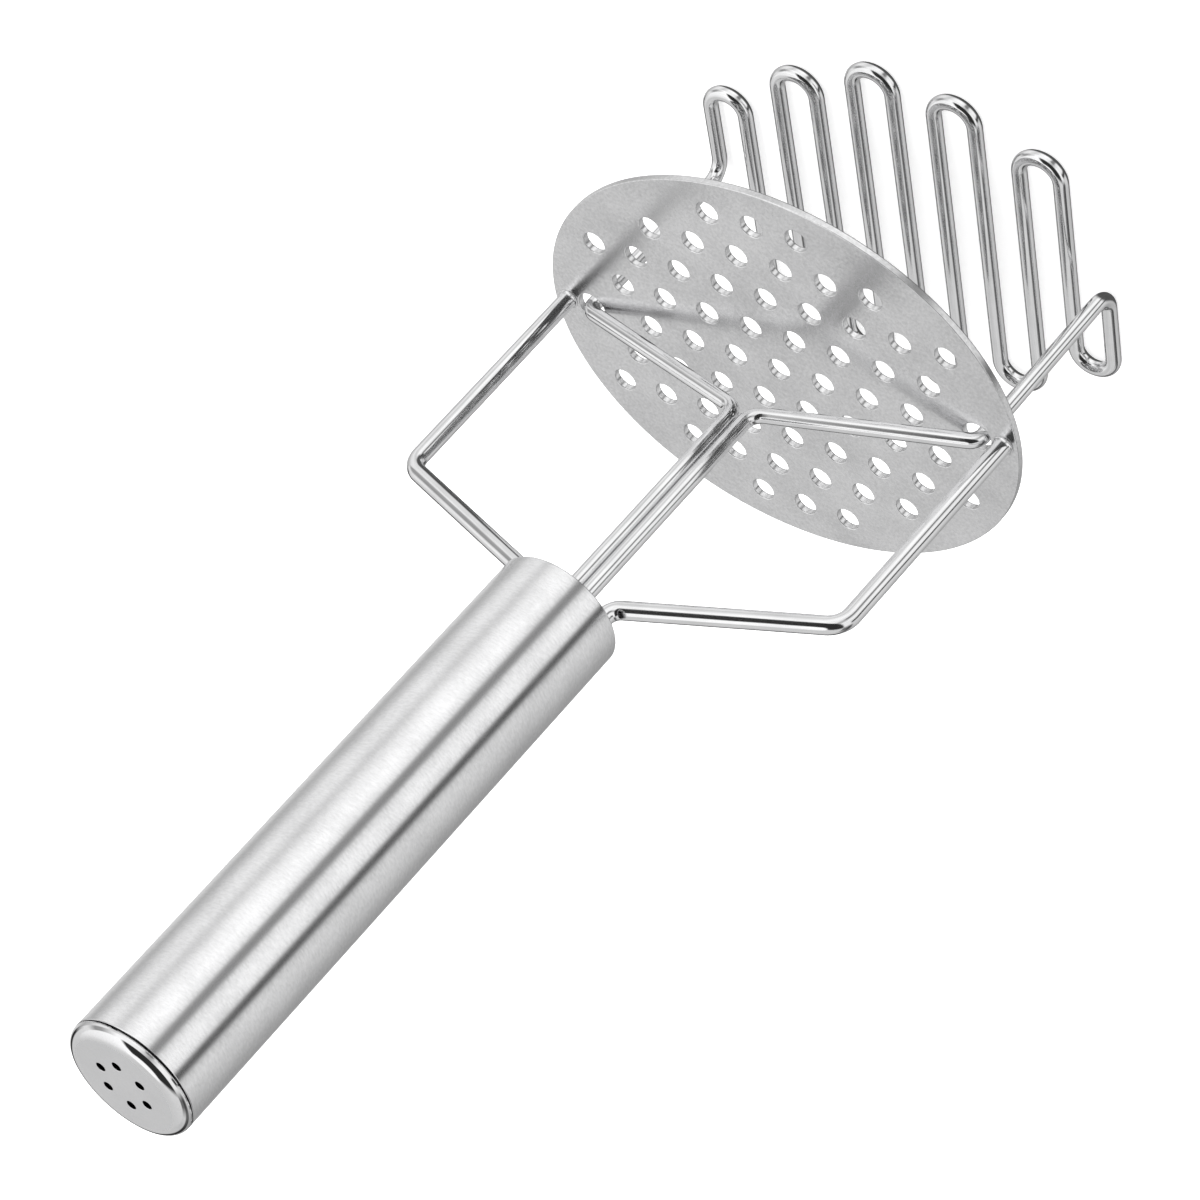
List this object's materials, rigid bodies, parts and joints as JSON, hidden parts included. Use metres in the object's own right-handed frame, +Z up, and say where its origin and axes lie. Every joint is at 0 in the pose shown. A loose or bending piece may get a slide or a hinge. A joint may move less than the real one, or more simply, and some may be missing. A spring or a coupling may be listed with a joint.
{
  "type": "potato ricer",
  "caption": "Hand potato ricer and masher: tube handle, bent wire frame with an oval perforated plate, and a spring-loaded zigzag wire masher below it that slides up to the plate.",
  "frame": {"origin": "under the middle of the zigzag, on the surface that the ricer stands on, on the handle's axis", "axes": "+Z up along the handle, +X along the row of loops from the left frame wire to the right one, +Y along the zigzag's runs"},
  "size_m": [0.105, 0.085, 0.2386],
  "materials": {
    "brushed_steel": "satin stainless steel with fine grain round the tube",
    "polished_cap": "stainless steel, mirror-polished rim and satin end",
    "polished_wire": "bright polished stainless steel wire",
    "satin_steel": "satin stainless steel sheet",
    "weld": "dull weld metal",
    "spring_steel": "drawn stainless spring wire",
    "nylon": "moulded black nylon"
  },
  "bodies": {
    "handle_and_plate": {"handle_tube": "brushed_steel", "end_cap": "polished_cap", "front_cap": "satin_steel", "spring_seat": "nylon", "perforated_plate": "satin_steel", "frame_wire_left": "polished_wire", "frame_wire_right": "polished_wire", "frame_weld_left": "weld", "frame_weld_right": "weld", "return_spring": "spring_steel"},
    "masher": {"masher_wire": "polished_wire", "plunger": "nylon"}
  },
  "joints": [
    {"name": "masher_slide", "type": "slide", "parent": "handle_and_plate", "child": "masher", "axis": [0, 0, 1], "range_m": [0, 0.04], "stiffness_N_per_m": 600, "springref_m": -0.012, "deforming": ["return_spring"]}
  ]
}
